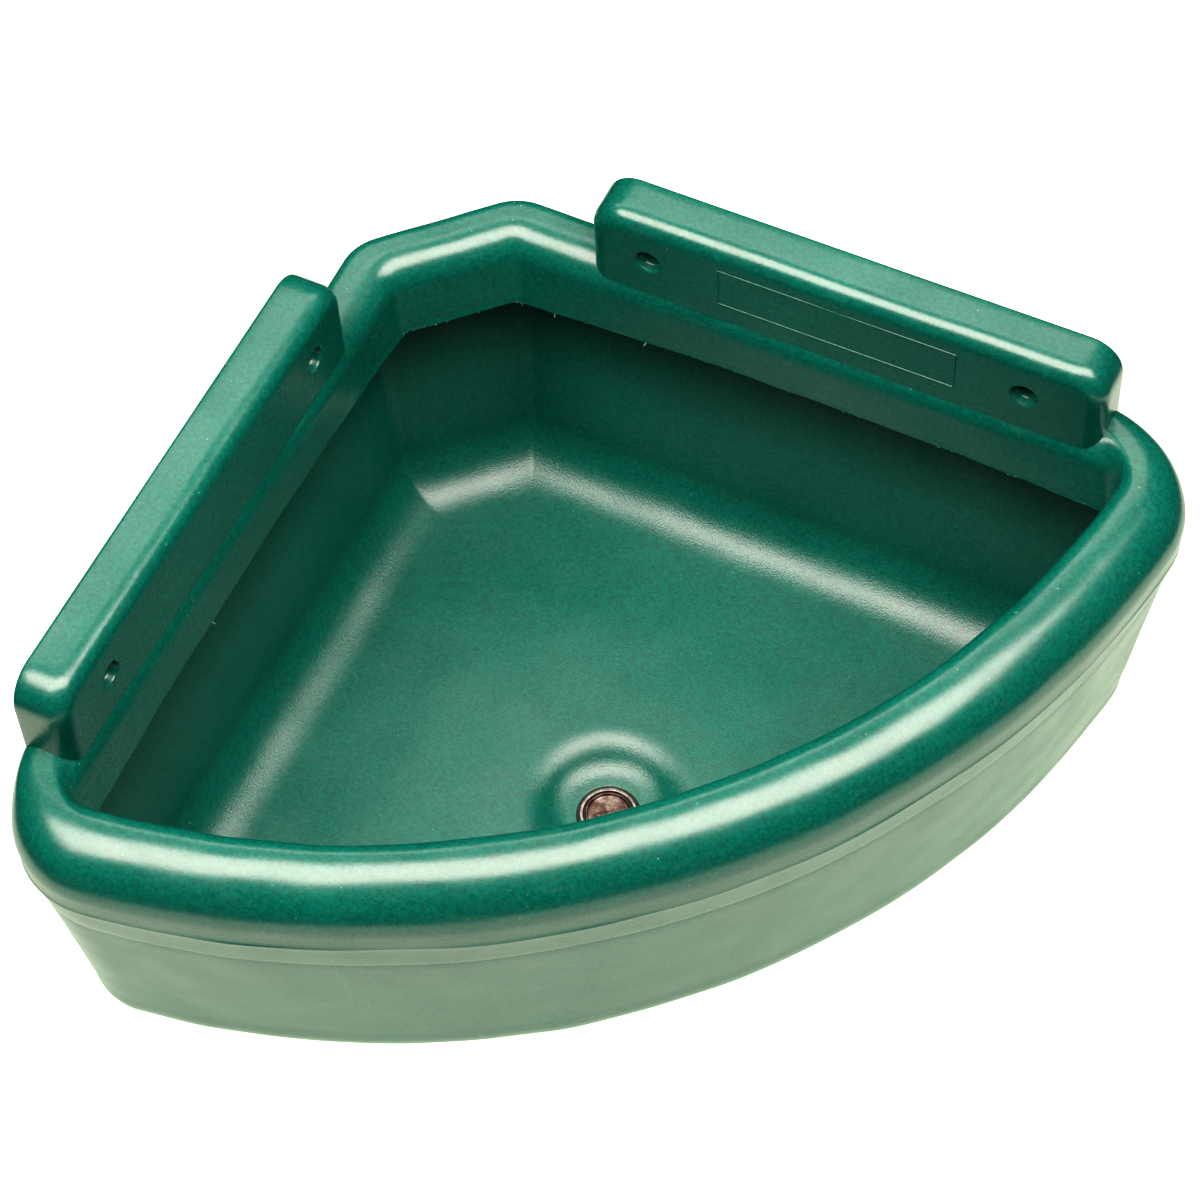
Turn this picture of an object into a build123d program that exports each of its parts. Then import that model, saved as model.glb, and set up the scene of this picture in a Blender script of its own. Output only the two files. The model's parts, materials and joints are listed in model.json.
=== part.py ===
"""Corner feed manger: one hollow-moulded plastic tub that hangs in the corner of a stable by two bars,
with a screw-in drain fitting in its sump.

Frame: the origin is where the two stable walls meet, at the level of the rim's ledge. The right-hand wall
is the plane Y = 0 and the left-hand wall is the plane X = 0, so the tub lies at X > 0 and Y < 0. +Z is up.
"""
from build123d import *
from math import radians, sin, sqrt, tan
import os

# ---- tub: plan ---------------------------------------------------------------------------------------
front_radius = 664.0        # widest circle of the curved front
front_centre = 12.5         # that circle's centre lies this far behind each wall
front_corner_radius = 70.0  # plan rounding where the front meets a wall
chamfer_reach = 92.0        # the flat across the back corner meets each wall plane this far out
back_corner_radius = 40.0   # plan rounding at the two ends of that flat
smallest_radius = 6.0       # plan roundings never get tighter than this
skin = 5.0                  # wall thickness of the moulding

# ---- tub: heights, from the ledge --------------------------------------------------------------------
rim_top = 4.0               # highest line of the rolled rim
roll_radius = 40.0          # outer half of the roll, round the front
back_edge_radius = 10.0     # outer top edge along the walls
skirt_bottom = -56.0        # where the skirt under the roll ends
bevel_bottom = -90.0        # where the bevel under the skirt ends
base_bottom = -284.0        # underside of the floor
base_radius = 50.0          # rounding between the sides and the floor
front_bevel, wall_bevel = 8.0, 7.0
front_draft, wall_draft = 8.2, 5.6      # degrees from upright, below the bevel

# ---- tub: the opening cut in the top -----------------------------------------------------------------
opening_setback = 48.0      # cut edge to wall plane
opening_front_radius = 605.0
lip_bottom = -61.0          # height of the cut edge
lip_lean = 4.0              # the lip leans this far in on its way down
shoulder_radius = 14.0      # inner half of the roll
opening_front_corner = 18.0
opening_back_corner = 12.0

# ---- mounting bars -----------------------------------------------------------------------------------
bar_start, bar_length = 170.0, 400.0    # along the wall, from the corner
bar_depth, bar_top = 40.0, 70.0
bar_root = -12.0            # the bar is let into the rim down to here
bar_end_radius = 24.0       # rounding of the bar's upper ends, seen from the front
bar_edge_radius = 14.0      # rounding round the bar's front face
hole_start, hole_spacing = 218.0, 293.0
hole_height = 29.0
hole_radius = 6.5
hole_mouth_radius, hole_mouth_depth = 9.5, 7.0
tube_radius = 12.0          # moulded tube round each fixing hole
panel_start, panel_length = 274.0, 184.0    # blank marking panel on the right-hand bar
panel_low, panel_high = 11.0, 48.0
panel_line, panel_rise = 1.2, 0.5       # the line's width, and how far it stands out

# ---- sump and drain ----------------------------------------------------------------------------------
drain_reach = 425.5         # corner to drain, along the diagonal
sump_depth = 17.0
sump_mouth_radius, sump_edge_radius = 57.4, 32.0
sump_foot_radius, sump_foot_depth, sump_foot_rounding = 39.0, 15.7, 30.0
drain_boss_radius, drain_boss_drop = 33.0, 4.0
flange_radius, flange_height = 22.2, 5.0
recess_radius, recess_depth = 24.2, 4.5
gasket_lip_gap, gasket_lip_drop = 0.1, 0.9     # the lip round the flange: side gap, and below its top
gasket_thickness = 1.5
bush_radius = 19.0          # outside of the bush's threaded tube
bush_hole_gap = 0.4
bush_bore_radius = 15.4
bush_tail = 24.0            # tube length below the flange
seat_radius, seat_depth = 19.4, 3.2
plug_head_radius, plug_head_height = 17.5, 3.6
plug_rim_width, plug_dish_depth = 1.3, 2.2
thread_gap = 0.06           # radial running clearance of the plug in the bush
plug_thread_length = 16.0
plug_lead_in = 1.2
grip_length, grip_width, grip_height = 20.0, 4.0, 1.9
o_ring_radius = 0.95        # half of the O-ring's section
washer_radius, washer_thickness = 29.0, 2.0
nut_flats, nut_height = 50.0, 9.0
thread_fit = 0.05           # radial gap of the lock nut and the washer on the bush's thread

floor_top = base_bottom + skin
sump_floor = floor_top - sump_depth
recess_floor = sump_floor - recess_depth
flange_bottom = recess_floor + gasket_thickness
flange_top = flange_bottom + flange_height
seat_floor = flange_top - seat_depth
bush_bottom = flange_bottom - bush_tail
boss_face = sump_floor - skin - drain_boss_drop
plug_bottom = seat_floor - plug_thread_length
o_ring_centre_radius = (seat_radius + plug_head_radius) / 2
washer_bottom = boss_face - washer_thickness
drain_x = drain_reach / sqrt(2)
drain_place = Pos(drain_x, -drain_x, 0)
wall_mirror = Plane(origin=(0, 0, 0), z_dir=(1, 1, 0))      # swaps the two walls


# ---- the tub's profile, as insets from its widest outline ----------------------------------------------
def side_inset(z, offset, bevel, draft, edge_radius):
    """Inset of the outside at height z, for a surface that lies `offset` inside it."""
    base_centre = base_bottom + base_radius
    edge_centre = rim_top - edge_radius
    if z > edge_centre:
        return edge_radius - sqrt(max((edge_radius - offset) ** 2 - (z - edge_centre) ** 2, 0.0))
    if z >= skirt_bottom:
        return offset
    if z >= bevel_bottom:
        return offset + bevel * (skirt_bottom - z) / (skirt_bottom - bevel_bottom)
    slope = tan(radians(draft))
    if z >= base_centre:
        return offset + bevel + slope * (bevel_bottom - z)
    at_centre = bevel + slope * (bevel_bottom - base_centre)
    reach = sqrt(max((base_radius - offset) ** 2 - (z - base_centre) ** 2, 0.0))
    return at_centre + base_radius - reach


def front_inset(z, offset):
    return side_inset(z, offset, front_bevel, front_draft, roll_radius)


def wall_inset(z, offset):
    return side_inset(z, offset, wall_bevel, wall_draft, back_edge_radius)


def opening_growth(z, offset):
    """How far the opening's side lies outside the cut edge at height z."""
    centre = rim_top - shoulder_radius
    if z > centre:
        return lip_lean + shoulder_radius - sqrt(max((shoulder_radius - offset) ** 2 - (z - centre) ** 2, 0.0))
    return offset + lip_lean * (z - lip_bottom) / (centre - lip_bottom)


def plan_face(z, radius, setback, reach, front_corner, back_corner):
    """The manger's plan outline at height z: two walls, the flat across the corner and the curved front."""
    disc = Pos(-front_centre, front_centre) * Circle(radius)
    quarter = Pos(setback, -setback) * Rectangle(900, 900, align=(Align.MIN, Align.MAX))
    corner = make_face(Polyline((0, 0), (reach, 0), (0, -reach), close=True))
    outline = (disc & quarter) - corner
    front = [v for v in outline.vertices() if v.X - v.Y > radius / 2]
    outline = fillet(front, front_corner)
    back = [v for v in outline.vertices() if v.X - v.Y < radius / 2]
    outline = fillet(back, back_corner)
    return Pos(0, 0, z) * outline.face()


def arc_heights(centre, radius, first, last, steps):
    """Heights on a round edge, evenly spaced in angle from `first` to `last` degrees."""
    return [centre + radius * sin(radians(first + (last - first) * i / steps)) for i in range(steps + 1)]


def body_section(z, offset):
    wall = wall_inset(z, offset)
    return plan_face(
        z,
        front_radius - front_inset(z, offset),
        wall,
        chamfer_reach + wall * sqrt(2),
        max(front_corner_radius - wall, smallest_radius),
        max(back_corner_radius - wall, smallest_radius),
    )


def body_solid(offset):
    """The whole outside of the moulding, or the same shape `offset` further in."""
    base = arc_heights(base_bottom + base_radius, base_radius - offset, -90, 0, 5)
    roll = arc_heights(rim_top - roll_radius, roll_radius - offset, 0, 90, 6)
    heights = base + [bevel_bottom, skirt_bottom] + roll
    return loft([body_section(z, offset) for z in heights], ruled=True)


def opening_section(z, offset, lift=0.0):
    grow = opening_growth(z, offset)
    return plan_face(
        z + lift,
        opening_front_radius + grow,
        opening_setback - grow,
        chamfer_reach + (opening_setback - grow) * sqrt(2),
        opening_front_corner + grow,
        opening_back_corner + grow,
    )


def opening_solid(offset):
    """The space inside the lip, or the same shape `offset` further out, from the cut edge to the rim."""
    shoulder = arc_heights(rim_top - shoulder_radius, shoulder_radius - offset, 0, 90, 6)
    sections = [opening_section(z, offset) for z in [lip_bottom] + shoulder]
    if offset == 0:
        sections.append(opening_section(rim_top, offset, lift=5.0))
    return loft(sections, ruled=True)


# ---- the mounting bars ---------------------------------------------------------------------------------
def bar_outside():
    """Right-hand bar, standing on the rim against the wall plane."""
    height = bar_top - bar_root
    face = Rectangle(bar_length, height, align=(Align.MIN, Align.MIN))
    upper = [v for v in face.vertices() if v.Y > height / 2]
    face = fillet(upper, bar_end_radius)
    bar = extrude(Pos(bar_start, 0, bar_root) * (Plane.XZ * face), amount=bar_depth)
    front = bar.faces().sort_by(Axis.Y)[0]
    edges = [e for e in front.edges() if e.center().Z > bar_root + 1]
    return fillet(edges, bar_edge_radius)


def bar_inside():
    height = bar_top - bar_root - skin
    face = Rectangle(bar_length - 2 * skin, height, align=(Align.MIN, Align.MIN))
    upper = [v for v in face.vertices() if v.Y > height / 2]
    face = fillet(upper, bar_end_radius - skin)
    place = Pos(bar_start + skin, -skin, bar_root)
    return extrude(place * (Plane.XZ * face), amount=bar_depth - 2 * skin)


def across_bar(radius, depth, start):
    """Round bars through the right-hand bar at its two fixing holes, from `start` off the wall."""
    rod = Rot(90, 0, 0) * Cylinder(radius, depth, align=(Align.CENTER, Align.CENTER, Align.MIN))
    places = [Pos(hole_start + i * hole_spacing, -start, hole_height) for i in range(2)]
    return Compound(children=[place * rod for place in places])


def both_sides(shape):
    return [shape, mirror(shape, about=wall_mirror)]


def panel_frame():
    """A thin raised line round a blank marking panel on the right-hand bar's front face."""
    height = panel_high - panel_low
    outer = Rectangle(panel_length, height, align=(Align.MIN, Align.MIN))
    inner = Rectangle(panel_length - 2 * panel_line, height - 2 * panel_line, align=(Align.MIN, Align.MIN))
    frame = outer - Pos(panel_line, panel_line) * inner
    place = Pos(panel_start, 1.0 - bar_depth, panel_low)
    return extrude(place * (Plane.XZ * frame), amount=1.0 + panel_rise)


# ---- sump ----------------------------------------------------------------------------------------------
def turned(points, roundings):
    """A solid turned about the drain's axis from (radius, height) points, with named points rounded."""
    face = make_face(Plane.XZ * Polyline(*points, close=True))
    for (radius, height), rounding in roundings.items():
        corner = [v for v in face.vertices() if abs(v.X - radius) < 0.01 and abs(v.Z - height) < 0.01]
        face = fillet(corner, rounding)
    return drain_place * revolve(face, Axis.Z)


def sump_space():
    """The dish round the drain: a soft edge, a steep side, then a gentle fall to the drain."""
    above = floor_top + 3.0
    wide = sump_mouth_radius + 30.0
    foot = floor_top - sump_foot_depth
    points = [(0, above), (wide, above), (wide, floor_top), (sump_mouth_radius, floor_top),
              (sump_foot_radius, foot), (recess_radius, sump_floor), (0, sump_floor)]
    return turned(points, {(sump_mouth_radius, floor_top): sump_edge_radius,
                           (sump_foot_radius, foot): sump_foot_rounding})


def sump_underside():
    """The same dish as it shows under the floor, with a thicker boss for the drain."""
    top = floor_top - 1.0
    foot = floor_top - sump_foot_depth - skin
    low = sump_floor - skin
    boss = low - drain_boss_drop
    points = [(0, top), (sump_mouth_radius + skin, top), (sump_mouth_radius + skin, base_bottom),
              (sump_foot_radius + 3.0, foot), (drain_boss_radius + 2.0, low), (drain_boss_radius, low),
              (drain_boss_radius - 1.0, boss), (0, boss)]
    return turned(points, {})


def drain_cylinder(radius, bottom, top):
    return drain_place * Pos(0, 0, bottom) * Cylinder(
        radius, top - bottom, align=(Align.CENTER, Align.CENTER, Align.MIN))


def ring(outer, inner, bottom, top):
    return drain_cylinder(outer, bottom, top) - drain_cylinder(inner, bottom - 1, top + 1)


def tub_shell():
    rim_hollow = body_solid(skin) - opening_solid(skin)
    shell = body_solid(0) - opening_solid(0)
    for bar in both_sides(bar_outside()):
        shell += bar
    shell -= rim_hollow
    for hollow in both_sides(bar_inside()):
        shell -= hollow
    for tube in both_sides(across_bar(tube_radius, bar_depth - 1.0, 0.5)):
        shell += tube
    for hole in both_sides(across_bar(hole_radius, bar_depth + 2.0, -1.0)):
        shell -= hole
    mouths = across_bar(hole_mouth_radius, hole_mouth_depth + 1.0, bar_depth - hole_mouth_depth)
    for mouth in both_sides(mouths):
        shell -= mouth
    shell += panel_frame()
    shell += sump_underside()
    shell -= sump_space()
    shell -= drain_cylinder(recess_radius, recess_floor, sump_floor + 1)
    shell -= drain_cylinder(bush_radius + bush_hole_gap, base_bottom - 60, sump_floor)
    return shell


# ---- drain fitting -------------------------------------------------------------------------------------
def gasket():
    """Rubber ring under the flange, with a lip that stands up round the flange's edge."""
    outside = recess_radius - gasket_lip_gap
    lip = ring(outside, flange_radius + gasket_lip_gap, flange_bottom - 0.5, flange_top - gasket_lip_drop)
    return ring(outside, bush_radius + gasket_lip_gap, recess_floor, flange_bottom) + lip


def drain_bush():
    """Flanged bush: a flange in the sump's recess, a threaded tube through the floor, a seat for the plug."""
    body = drain_cylinder(flange_radius, flange_bottom, flange_top)
    body = chamfer(body.edges().filter_by(GeomType.CIRCLE).sort_by(Axis.Z)[-1], 0.8)
    body += drain_cylinder(bush_radius, bush_bottom, flange_bottom + 0.5)
    body -= drain_cylinder(seat_radius, seat_floor, flange_top + 1)
    return body - drain_cylinder(bush_bore_radius, bush_bottom - 1, flange_top + 1)


def plug():
    """Screw-in plug: a dished head with a grip bar across it and a threaded stem."""
    head_top = seat_floor + plug_head_height
    head = drain_cylinder(plug_head_radius, seat_floor, head_top)
    head -= drain_cylinder(plug_head_radius - plug_rim_width, head_top - plug_dish_depth, head_top + 1)
    stem = drain_cylinder(bush_bore_radius - thread_gap, plug_bottom, seat_floor + 0.5)
    stem = chamfer(stem.edges().filter_by(GeomType.CIRCLE).sort_by(Axis.Z)[0], plug_lead_in)
    grip = Box(grip_length, grip_width, grip_height + 0.5, align=(Align.CENTER, Align.CENTER, Align.MIN))
    grip = fillet(grip.edges().filter_by(Axis.Z), grip_width / 2 - 0.1)
    return head + stem + drain_place * Pos(0, 0, head_top - plug_dish_depth - 0.5) * Rot(0, 0, 35) * grip


def o_ring():
    centre = seat_floor + o_ring_radius + 0.02
    return drain_place * Pos(0, 0, centre) * Torus(o_ring_centre_radius, o_ring_radius - 0.01)


def back_washer():
    return ring(washer_radius, bush_radius + thread_fit, washer_bottom, boss_face)


def lock_nut():
    """Low hexagon nut under the sump."""
    nut = extrude(RegularPolygon(nut_flats / 2, 6, major_radius=False), amount=nut_height)
    nut = drain_place * Pos(0, 0, washer_bottom - nut_height) * nut
    nut = chamfer(nut.faces().sort_by(Axis.Z)[0].edges(), 1.0)
    return nut - drain_cylinder(bush_radius + thread_fit, washer_bottom - nut_height - 1, washer_bottom + 1)


nodes = {
    "tub_shell": tub_shell(),
    "drain_bush": drain_bush(),
    "bush_gasket": gasket(),
    "drain_plug": plug(),
    "plug_o_ring": o_ring(),
    "back_washer": back_washer(),
    "lock_nut": lock_nut(),
}
os.makedirs("parts", exist_ok=True)
for name, shape in nodes.items():
    export_step(shape, f"parts/{name}.step")
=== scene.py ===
# %% [markdown]
# # A corner feed manger, surface by surface
# The manger is one hollow moulding of green polyethylene that hangs in the corner of a stable, with a
# screw-in metal drain plug in its floor. The CAD model is loaded first and never moved. Every surface
# that is made here is laid round the same dimensions, in metres, in the same frame: the two stable
# walls are the planes X = 0 and Y = 0, and the rim's ledge is just above Z = 0.

# %% Load the frame
import json
import math
import bmesh
import bpy
import numpy as np
from mathutils import Matrix, Vector


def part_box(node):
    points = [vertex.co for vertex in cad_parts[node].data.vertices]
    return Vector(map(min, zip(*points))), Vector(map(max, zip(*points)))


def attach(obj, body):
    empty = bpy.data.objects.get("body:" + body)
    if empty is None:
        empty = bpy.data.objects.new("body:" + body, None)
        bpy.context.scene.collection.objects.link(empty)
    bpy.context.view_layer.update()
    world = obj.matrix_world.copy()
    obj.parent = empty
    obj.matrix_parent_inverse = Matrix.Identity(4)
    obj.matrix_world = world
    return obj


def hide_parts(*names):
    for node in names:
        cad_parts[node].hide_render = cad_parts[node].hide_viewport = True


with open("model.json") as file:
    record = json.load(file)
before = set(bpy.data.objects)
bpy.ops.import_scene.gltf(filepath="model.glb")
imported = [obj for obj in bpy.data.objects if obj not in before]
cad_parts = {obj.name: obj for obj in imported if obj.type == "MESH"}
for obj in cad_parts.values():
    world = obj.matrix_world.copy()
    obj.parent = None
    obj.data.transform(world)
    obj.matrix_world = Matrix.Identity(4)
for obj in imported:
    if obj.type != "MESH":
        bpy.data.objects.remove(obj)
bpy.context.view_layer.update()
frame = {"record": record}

# %% [markdown]
# ## Node helpers
# Materials and the room's light are small graphs of nodes. Two short-hands keep them readable: one adds a
# node with its values and gives back an output, the other sets an input or links an output into it.

# %% Node helpers
def put(socket, value):
    """Link an output into an input, or give the input a plain value."""
    if isinstance(value, bpy.types.NodeSocket):
        value.id_data.links.new(value, socket)
    else:
        socket.default_value = value


def adder(tree):
    """A function that adds a node with values to the tree and gives back one of its outputs."""
    def add(kind, out=0, **values):
        node = tree.nodes.new("ShaderNode" + kind)
        for key, value in values.items():
            if hasattr(node, key):
                setattr(node, key, value)
            else:
                put(node.inputs[key.replace("_", " ")], value)
        return node.outputs[out]

    return add


def material(name, roughness, metallic=0.0, specular=0.5):
    """A new material, the function that adds nodes to it, and one that sets an input of its shader."""
    made = bpy.data.materials.new(name)
    made.use_nodes = True
    shader = made.node_tree.nodes["Principled BSDF"]

    def give(socket, value):
        put(shader.inputs[socket], value)

    give("Roughness", roughness)
    give("Metallic", metallic)
    give("Specular IOR Level", specular)
    return made, adder(made.node_tree), give


def ramp(add, value, *stops):
    """Colour ramp through (position, colour) stops; a plain number is a grey."""
    out = add("ValToRGB", Fac=value)
    elements = out.node.color_ramp.elements
    for number, (position, colour) in enumerate(stops):
        element = elements[number] if number < 2 else elements.new(position)
        element.position = position
        element.color = colour if isinstance(colour, tuple) else (colour, colour, colour, 1)
    return out


def mixed(add, share, first, second, blend="MIX"):
    """Mix of two colours, each a value or an output, by a share that is a number or an output."""
    node = add("Mix").node
    node.data_type, node.blend_type = "RGBA", blend
    for number, value in ((0, share), (6, first), (7, second)):
        put(node.inputs[number], value)
    return node.outputs[2]


def noise(add, place, scale, detail=2.0, stretch=None, rough=0.5):
    """Noise in Object coordinates; stretch scales the axes first, for streaks."""
    if stretch:
        place = add("Mapping", Vector=place)
        place.node.inputs["Scale"].default_value = stretch
    return add("TexNoise", Vector=place, Scale=scale, Detail=detail, Roughness=rough)


print("node helpers ready")

# %% [markdown]
# ## The floor, the light and the camera
# A product table is a white sheet that glows a little, lit so brightly that it has no shade left. The
# plastic mirrors it in its lower walls, which is why they look pale. It ends less than a metre from the
# manger, and beyond it the room is dark, so the round side of the rim, which mirrors the room, keeps the
# plastic's full colour. One large softbox hangs above: the rolled rim mirrors it as one long white streak.

# %% Table
TABLE_RADIUS = 0.92
MIRRORED_GLOW, SEEN_GLOW = 0.70, 1.2
FLOOR_GREY = 0.30
WARM = (1, 0.85, 0.77)
TABLE_TINT = (0.81, 1.0, 0.71)
stand_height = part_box("drain_bush")[0].z


def white_table():
    """A round flat sheet just under the drain's tube.

    Light Path tells whether a ray comes from the camera: the eye sees pure white, a mirror less of it.
    """
    bpy.ops.mesh.primitive_circle_add(vertices=128, radius=TABLE_RADIUS, fill_type="NGON",
                                      location=(0.3, -0.3, stand_height))
    table = bpy.context.object
    table.name = "white_table"
    made, add, give = material("table_white", 0.9, specular=0.1)
    give("Base Color", (FLOOR_GREY, FLOOR_GREY, FLOOR_GREY, 1))
    give("Emission Color", (*TABLE_TINT, 1))
    give("Emission Strength", add("MapRange", Value=add("LightPath"),
                                  To_Min=MIRRORED_GLOW, To_Max=SEEN_GLOW))
    table.data.materials.append(made)


white_table()
print("table at", round(stand_height, 4))

# %% Softbox and room
SOFTBOX_POWER, SOFTBOX_SIZE, SOFTBOX_SPOT = 168.0, (4.4, 1.6), (-0.45, 2.4)
PANEL_POWER, PANEL_SIZE, PANEL_SPOT = 20.0, (3.6, 0.8), (1.7, 2.3)
ROOM_STRENGTH = 1.0
view_direction = Vector((-0.26647, 0.48803, -0.83116)).normalized()
view_up = Vector((-0.34525, 0.75678, 0.55505)).normalized()
away = Vector((view_direction.x, view_direction.y, 0)).normalized()


def seated(data, place, across, back):
    """Put a lamp or a camera at its place, with its own X along across and its rear towards back."""
    seat = bpy.data.objects.new(data.name, data)
    bpy.context.collection.objects.link(seat)
    seat.matrix_world = Matrix((across, back.cross(across), back)).transposed().to_4x4()
    seat.matrix_world.translation = place
    return seat


def light_panel(name, power, size, spot):
    """A rectangle of light aimed at the manger, (distance beyond it, height above it) from its middle."""
    middle = Vector((0.29, -0.29, -0.1))
    place = middle + away * spot[0] + Vector((0, 0, spot[1]))
    data = bpy.data.lights.new(name, "AREA")
    data.shape = "RECTANGLE"
    data.size, data.size_y = size
    data.energy = power
    data.color = WARM
    across = away.cross(Vector((0, 0, 1))).normalized()
    seated(data, place, across, (place - middle).normalized())


def dim_room():
    """World light that is dim level with the eye and brighter overhead; the eye itself sees plain white."""
    world = bpy.data.worlds.new("studio_room")
    bpy.context.scene.world = world
    world.use_nodes = True
    world.node_tree.nodes.clear()
    add = adder(world.node_tree)
    height = add("SeparateXYZ", 2, Vector=add("TexCoord"))
    colour = ramp(add, height, (0.0, (0.02, 0.022, 0.022, 1)), (0.95, (0.3, 0.3, 0.29, 1)),
                  (0.5, (0.03, 0.03, 0.0291, 1)), (0.8, (0.25, 0.25, 0.2425, 1)))
    mix = add("MixShader").node
    put(mix.inputs[0], add("LightPath"))
    put(mix.inputs[1], add("Background", Color=colour, Strength=ROOM_STRENGTH))
    put(mix.inputs[2], add("Background", Color=(1, 1, 1, 1)))
    output = world.node_tree.nodes.new("ShaderNodeOutputWorld")
    put(output.inputs["Surface"], mix.outputs[0])


light_panel("overhead_softbox", SOFTBOX_POWER, SOFTBOX_SIZE, SOFTBOX_SPOT)
light_panel("back_panel", PANEL_POWER, PANEL_SIZE, PANEL_SPOT)
dim_room()
bpy.context.scene.view_settings.view_transform = "Standard"
bpy.context.scene.view_settings.look = "High Contrast"
print("softbox", SOFTBOX_SIZE, "m,", SOFTBOX_POWER, "W")

# %% Camera
CAMERA_PLACE = Vector((0.9883, -1.5531, 2.1309))
CAMERA_LENS, CAMERA_SENSOR = 111.35, 36.0


def camera():
    """Long lens, looking down into the manger from its front."""
    data = bpy.data.cameras.new("catalogue_camera")
    data.lens, data.sensor_width = CAMERA_LENS, CAMERA_SENSOR
    across = view_direction.cross(view_up).normalized()
    bpy.context.scene.camera = seated(data, CAMERA_PLACE, across, -view_direction)


camera()
print("camera at", tuple(CAMERA_PLACE))

# %% [markdown]
# ## Grids into meshes
# Every new piece is a sheet of points with rows and columns. A helper turns such a sheet into a closed
# skin, and turns it round if its faces look inwards, which the sign of the enclosed volume tells.

# %% Sheet helper
def smooth(piece, angle=32.0):
    """Rounded shading everywhere except over edges sharper than the angle."""
    mesh = piece.data
    mesh.polygons.foreach_set("use_smooth", np.ones(len(mesh.polygons), bool))
    mesh.set_sharp_from_angle(angle=math.radians(angle))


def enclosed(points, quads):
    """Signed volume inside quads: the sum of the triangles' triple products over six."""
    a, b, c, d = (points[quads[:, i]] for i in range(4))
    return (np.einsum("ij,ij->i", a, np.cross(b, c)) + np.einsum("ij,ij->i", a, np.cross(c, d))).sum() / 6


def sheet(name, grid, close_rows=False, poles=False):
    """Mesh from grid[row, column, xyz]: columns wrap round, rows wrap too for a ring, poles merge."""
    rows, columns = grid.shape[:2]
    row = np.arange(rows if close_rows else rows - 1)
    here, there = row[:, None] * columns, ((row + 1) % rows)[:, None] * columns
    column = np.arange(columns)
    after = (column + 1) % columns
    quads = np.stack([here + column, here + after, there + after, there + column], axis=-1).reshape(-1, 4)
    points = grid.reshape(-1, 3)
    if enclosed(points, quads) < 0:
        quads = quads[:, ::-1]
    mesh = bpy.data.meshes.new(name)
    mesh.from_pydata(points.tolist(), [], quads.tolist())
    if poles:
        work = bmesh.new()
        work.from_mesh(mesh)
        bmesh.ops.remove_doubles(work, verts=work.verts, dist=1e-7)
        work.to_mesh(mesh)
        work.free()
    mesh.update()
    piece = bpy.data.objects.new(name, mesh)
    bpy.context.collection.objects.link(piece)
    return piece


def between(first, last, count, ends=(True, True)):
    """Evenly spaced values, with or without either end."""
    values = np.linspace(first, last, count)
    return values[0 if ends[0] else 1:count if ends[1] else count - 1]


def upto(first, last, count, end=False):
    """Values that go from first to last in count steps, without last itself unless end is true."""
    return np.linspace(first, last, count + end, endpoint=end)


def line(first, last, count):
    """Both coordinates along a straight stretch, for arrays of end points."""
    t = upto(0, 1, count)
    return [a + t * (b - a) for a, b in zip(first, last)]


def bend(centre, radius, first, last, count, end=False):
    """Both coordinates along an arc between two angles in degrees, for arrays of arcs."""
    turn = np.radians(first + upto(0, 1, count, end) * (last - first))
    return centre[0] + radius * np.cos(turn), centre[1] + radius * np.sin(turn)


def joined(*stretches):
    """Both coordinates of several stretches, end to end along the columns."""
    return [np.concatenate([part[i] for part in stretches], axis=1) for i in (0, 1)]


print("helpers ready")

# %% [markdown]
# ## The plan outline
# Seen from above the manger is a quarter of a wide circle: two straight sides for the walls, a short flat
# across the corner, and the curved front, with all four corners rounded. Every level of the tub is this
# outline at another size, so one function gives it for many levels at once. Each straight or round stretch
# keeps its own share of columns, so the columns run unbroken from the rim to the floor.

# %% Outline
FRONT_CENTRE = 0.0125                       # the front circle's centre lies this far behind each wall
COLUMNS = {"flat": 7, "back": 12, "wall": 38, "corner": 24, "front": 46}


def half_outline(radius, setback, reach, front_corner, back_corner):
    """Half the outline, from the middle of the flat to the middle of the front, for arrays of sizes.

    Flat: a line at 45 degrees. Back corner: an arc that turns 45 degrees. Wall: a line at -setback.
    Front corner: an arc that touches the wall line and the front circle from inside. Front: the circle.
    """
    sizes = (radius, setback, reach, front_corner, back_corner)
    r, s, k, f, b = (np.asarray(size, float)[:, None] for size in sizes)
    diagonal = math.sqrt(0.5)
    cut = b * math.tan(math.radians(22.5))
    end_x, end_y = k - s - cut * diagonal, -s - cut * diagonal
    low_y, start_x = -s - f, k - s + cut
    corner_x = -FRONT_CENTRE + np.sqrt((r - f) ** 2 - (low_y - FRONT_CENTRE) ** 2)
    meet = np.degrees(np.arctan2(low_y - FRONT_CENTRE, corner_x + FRONT_CENTRE))
    return joined(
        line((k / 2, -k / 2), (end_x, end_y), COLUMNS["flat"]),
        bend((end_x + b * diagonal, end_y - b * diagonal), b, 135, 90, COLUMNS["back"]),
        line((start_x, -s), (corner_x, -s), COLUMNS["wall"]),
        bend((corner_x, low_y), f, 90, meet, COLUMNS["corner"]),
        bend((-FRONT_CENTRE, FRONT_CENTRE), r, meet, -45, COLUMNS["front"], end=True))


def outline(radius, setback, reach, front_corner, back_corner):
    """The whole loop: the right half, then the same half with the two walls swapped, backwards."""
    x, y = half_outline(radius, setback, reach, front_corner, back_corner)
    left_x, left_y = -y[:, -2:0:-1], -x[:, -2:0:-1]
    return np.stack([np.concatenate([x, left_x], axis=1), np.concatenate([y, left_y], axis=1)], axis=-1)


def all_columns(*stretches):
    """Values for half the columns, stretch by stretch, then mirrored onto the other half."""
    half = np.concatenate(stretches)
    return np.concatenate([half, half[-2:0:-1]])


along_wall = all_columns(np.zeros(COLUMNS["flat"] + COLUMNS["back"]), upto(0, 1, COLUMNS["wall"]),
                         np.zeros(COLUMNS["corner"] + COLUMNS["front"] + 1))
print("columns round the manger:", len(along_wall))

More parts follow.
